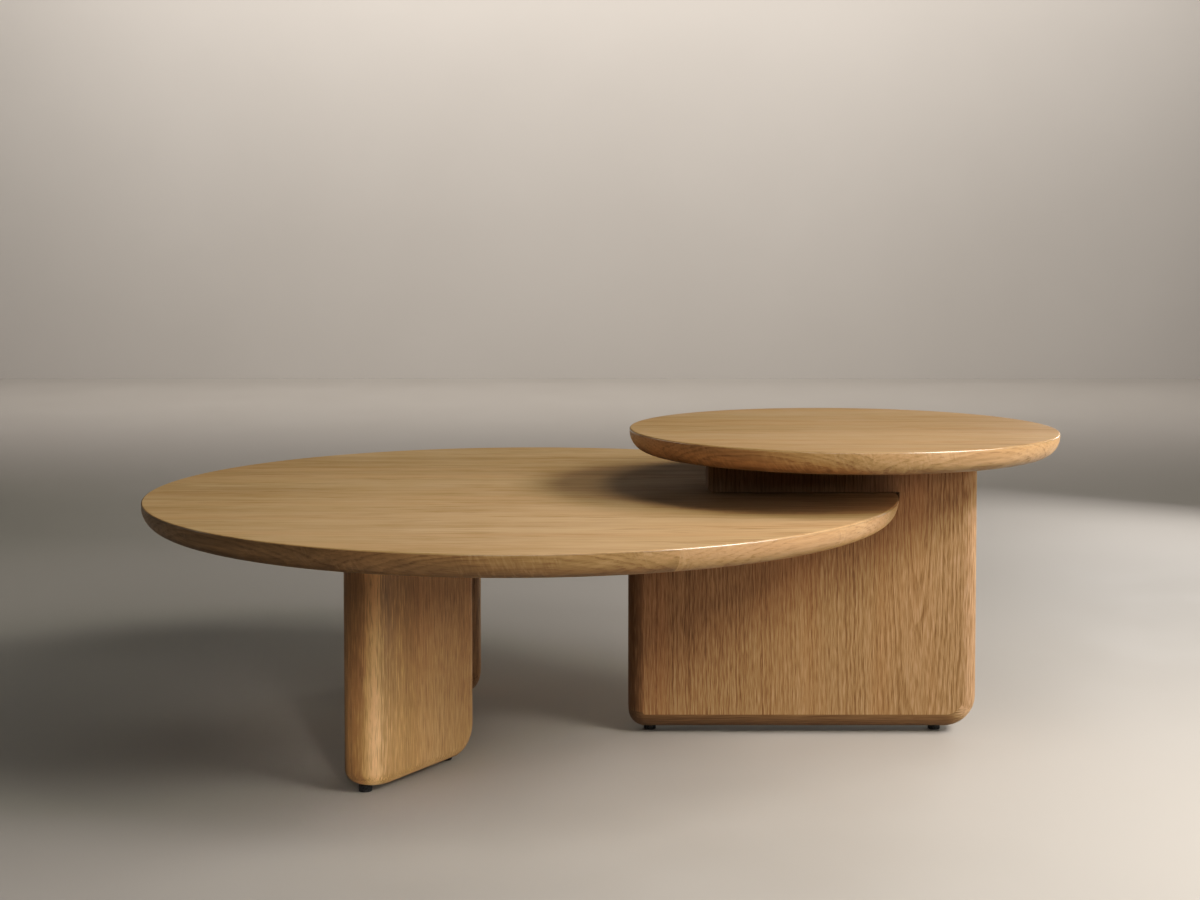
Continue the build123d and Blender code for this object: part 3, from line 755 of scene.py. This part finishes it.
def threaded(name, z0, z1, r, depth, pitch, mat, at):
    """Threaded stem: a helical groove cut round a rod."""
    seg = 40
    per = 8
    rows = int((z1 - z0) / pitch * per)
    verts, faces = [], []
    for k in range(rows + 1):
        z = z0 + (z1 - z0) * k / rows
        fade = min(1.0, (z - z0) / 1.0, (z1 - z) / 1.0)
        for i in range(seg):
            a = 2 * math.pi * i / seg
            ph = (z / pitch - i / seg) % 1.0
            rr = r - depth * fade * (1.0 - abs(2.0 * ph - 1.0)) - (1.0 - fade) * depth * 0.8
            verts.append((rr * math.cos(a), rr * math.sin(a), z))
    for k in range(rows):
        for i in range(seg):
            j = (i + 1) % seg
            faces.append((k * seg + i, k * seg + j, (k + 1) * seg + j, (k + 1) * seg + i))
    faces.append(tuple(reversed(range(seg))))
    faces.append(tuple(rows * seg + i for i in range(seg)))
    ob = make(name, verts, faces, [mat], at=at)
    mark_sharp(ob, 70)
    return ob


def stands_for(ob, nodes, body):
    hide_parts(*nodes.split())
    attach(ob, body)


# ------------------------------------------------------------- build the looks
big = veneer_disc("visual_large_veneer", LARGE_X, LARGE_R, LARGE_Z, M_TOP, 480)
small = veneer_disc("visual_small_veneer", SMALL_X, SMALL_R, SMALL_Z, M_TOP2, 360)
big_rim = rim("visual_large_rim", LARGE_X, LARGE_R, LARGE_Z, 8, 22.5, M_RIM, 60, [0.02, -0.05, 0.06, 0.04, 0.20, 0.14, -0.06, -0.16])
small_rim = rim("visual_small_rim", SMALL_X, SMALL_R, SMALL_Z, 6, 30.0, M_RIM, 60, [0.0, 0.05, -0.04, 0.08, 0.04, -0.05])
front = leg("visual_front_leg", 237.3, [M_LEG, M_NOSE_PAINTED_HIGHLIGHT])
rear = leg("visual_rear_leg", 126.0, [M_LEG, M_NOSE_PAINTED_HIGHLIGHT])
notched = slab("visual_notched_slab", [M_SLAB, M_END_LIP_PAINTED_LIGHT, M_LOW_LIP_PAINTED_SHADE, M_INNER_LIP_PAINTED_SHADE])
for ob in (big, small, big_rim, small_rim, front, rear, notched):
    n_open = tidy(ob) if ob not in (big_rim, small_rim) else 0
    if n_open:
        print("open edges", ob.name, n_open)
mark_sharp(notched, 50)
mark_sharp(front, 50)
mark_sharp(rear, 50)

stands_for(big, "large_top_veneer", "large_table")
stands_for(small, "small_top_veneer", "small_table")
stands_for(big_rim, "large_top_edge_band", "large_table")
stands_for(small_rim, "small_top_edge_band", "small_table")
stands_for(front, "front_leg", "large_table")
stands_for(rear, "rear_leg", "large_table")
stands_for(notched, "notched_slab slot_stop_block", "small_table")

for foot, (r, deg) in FEET.items():
    a = math.radians(deg)
    at = (LARGE_X + r * math.cos(a), r * math.sin(a))
    pad = [(0.01, 0.35), (6.4, 0.35), (6.9, 0.0)] + [(8.0 + 0.7 * math.sin(math.radians(x)), 0.7 - 0.7 * math.cos(math.radians(x))) for x in (0, 30, 60, 90)]
    pad += [(8.72, 3.0), (8.75, 5.5)] + [(7.35 + 1.4 * math.cos(math.radians(x)), 7.1 + 1.4 * math.sin(math.radians(x))) for x in (0, 18, 36, 54, 72, 90)]
    pad += [(5.6, 8.5), (5.2, 8.9), (0.01, 8.9)]
    p = turned("visual_" + foot + "_pad", pad, M_FOOT, 64, at)
    stands_for(p, foot + "_foot_pad", foot + "_foot")
    s = threaded("visual_" + foot + "_stem", 8.9, 40.0, 3.9, 0.55, 1.25, M_STEEL, at)
    stands_for(s, foot + "_foot_stem", foot + "_foot")

# CAD pieces that are shown as they are
for node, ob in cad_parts.items():
    if node.endswith("backer"):
        m = M_BACK
    elif node.endswith("core"):
        m = M_BOARD
    elif node.endswith("_plate"):
        m = M_PLATE
    elif "felt" in node:
        m = M_FELT
    elif node.endswith("foot_pad"):
        m = M_FOOT
    elif node.endswith("veneer"):
        m = M_TOP
    elif node.endswith("edge_band") or node in ("front_leg", "rear_leg", "notched_slab", "slot_stop_block"):
        m = M_SLAB
    else:
        m = M_STEEL
    ob.data.materials.clear()
    ob.data.materials.append(m)


# ------------------------------------------------------------------ the stage
def m_floor():
    t = Mat("stage_floor")
    tc = t.add("ShaderNodeTexCoord")
    n = t.noise(t.vmath("MULTIPLY", tc.outputs["Object"], (3.0, 3.0, 3.0)), 4.0, 0.55)
    t.set("Base Color", t.ramp(n, [(0.3, (0.42, 0.39, 0.355)), (0.7, (0.445, 0.415, 0.38))]))
    t.set("Roughness", t.step(n, 0.3, 0.7, 0.62, 0.72))
    return t.mat


def m_wall():
    t = Mat("stage_wall")
    tc = t.add("ShaderNodeTexCoord")
    n = t.noise(t.vmath("MULTIPLY", tc.outputs["Object"], (0.8, 0.8, 0.8)), 3.0, 0.5)
    t.set("Base Color", t.ramp(n, [(0.3, (0.55, 0.52, 0.485)), (0.7, (0.585, 0.555, 0.52))]))
    t.set("Roughness", t.step(n, 0.3, 0.7, 0.85, 0.95))
    return t.mat


def plane(name, pts, mat):
    me = bpy.data.meshes.new(name)
    me.from_pydata(pts, [], [tuple(range(len(pts)))])
    me.materials.append(mat)
    ob = bpy.data.objects.new(name, me)
    bpy.context.scene.collection.objects.link(ob)
    return ob


floor = plane("stage_floor", [(-14, -14, 0), (14, -14, 0), (14, 7, 0), (-14, 7, 0)], m_floor())
wall = plane("stage_wall", [(-14, 6.6, -0.01), (14, 6.6, -0.01), (14, 6.6, 6.0), (-14, 6.6, 6.0)], m_wall())


def area(name, at, to, power, sx, sy, colour):
    li = bpy.data.lights.new(name, "AREA")
    li.shape = "RECTANGLE"
    li.size, li.size_y = sx, sy
    li.energy = power
    li.color = colour
    ob = bpy.data.objects.new(name, li)
    bpy.context.scene.collection.objects.link(ob)
    ob.location = at
    ob.rotation_euler = (Vector(to) - Vector(at)).to_track_quat("-Z", "Y").to_euler()
    return ob


def beam(name, az, el, dist, power, sx, sy, colour):
    """Area light set by its direction from the middle of the tables; az 0 is +X, 90 the front."""
    a, e = math.radians(az), math.radians(el)
    mid = Vector((0.08, -0.03, 0.343))
    at = mid + dist * Vector((math.cos(e) * math.cos(a), -math.cos(e) * math.sin(a), math.sin(e)))
    return area(name, at, mid, power, sx, sy, colour)


WARM = (1.0, 0.96, 0.90)
beam("key", 14.0, 34.0, 2.6, 50.0, 1.25, 0.62, WARM)
beam("key_front", 42.0, 28.0, 1.9, 20.0, 0.70, 0.44, WARM)
beam("low_key", 32.0, 13.0, 2.6, 16.0, 1.3, 0.45, WARM)
beam("near_front", 58.0, 55.0, 1.15, 4.4, 0.5, 0.4, WARM)
beam("front_fill", 92.0, 18.0, 1.8, 2.6, 1.0, 0.4, WARM)
beam("back_edge", -52.0, 9.0, 2.6, 14.0, 1.0, 0.5, (1.0, 0.98, 0.96))
beam("left_fill", 202.0, 20.0, 2.6, 4.0, 1.6, 0.8, (1.0, 0.97, 0.93))
# a small gridded lamp, low in front, for the nose of the front leg
leg_lamp = area("leg_lamp", (0.12, -1.60, 0.40), (-0.300, -0.315, 0.060), 0.034, 0.14, 0.14, WARM)
leg_lamp.data.spread = math.radians(11.0)
area("wall_wash", (0.0, 4.6, 3.2), (0.0, 6.6, 1.4), 170.0, 7.0, 1.2, (1.0, 0.95, 0.90))

scene = bpy.context.scene
world = bpy.data.worlds.new("world")
scene.world = world
world.use_nodes = True
bg = world.node_tree.nodes["Background"]
bg.inputs[0].default_value = (1.0, 0.975, 0.95, 1.0)
bg.inputs[1].default_value = 0.012
scene.view_settings.view_transform = "Standard"
scene.view_settings.look = "None"
scene.view_settings.exposure = 0.0
# a soft toe: deep shade is drawn a little deeper
scene.view_settings.use_curve_mapping = True
toe = scene.view_settings.curve_mapping
for chan, k in ((0, 1.2), (1, 1.0), (2, 1.0)):
    for at_x, at_y in ((0.01, 0.0066), (0.02, 0.0130), (0.05, 0.036), (0.10, 0.087), (0.16, 0.158), (0.30, 0.30)):
        toe.curves[chan].points.new(at_x * k, at_y * k)
toe.update()

cam_data = bpy.data.cameras.new("camera")
cam = bpy.data.objects.new("camera", cam_data)
scene.collection.objects.link(cam)
cam.location = (-0.0039, -2.580, 0.7057)
cam.rotation_euler = (math.radians(90.0 - 2.47), 0.0, 0.0)
cam_data.sensor_width = 36.0
cam_data.lens = 54.03
cam_data.shift_y = -0.11
cam_data.clip_end = 100.0
scene.camera = cam

bpy.context.view_layer.update()
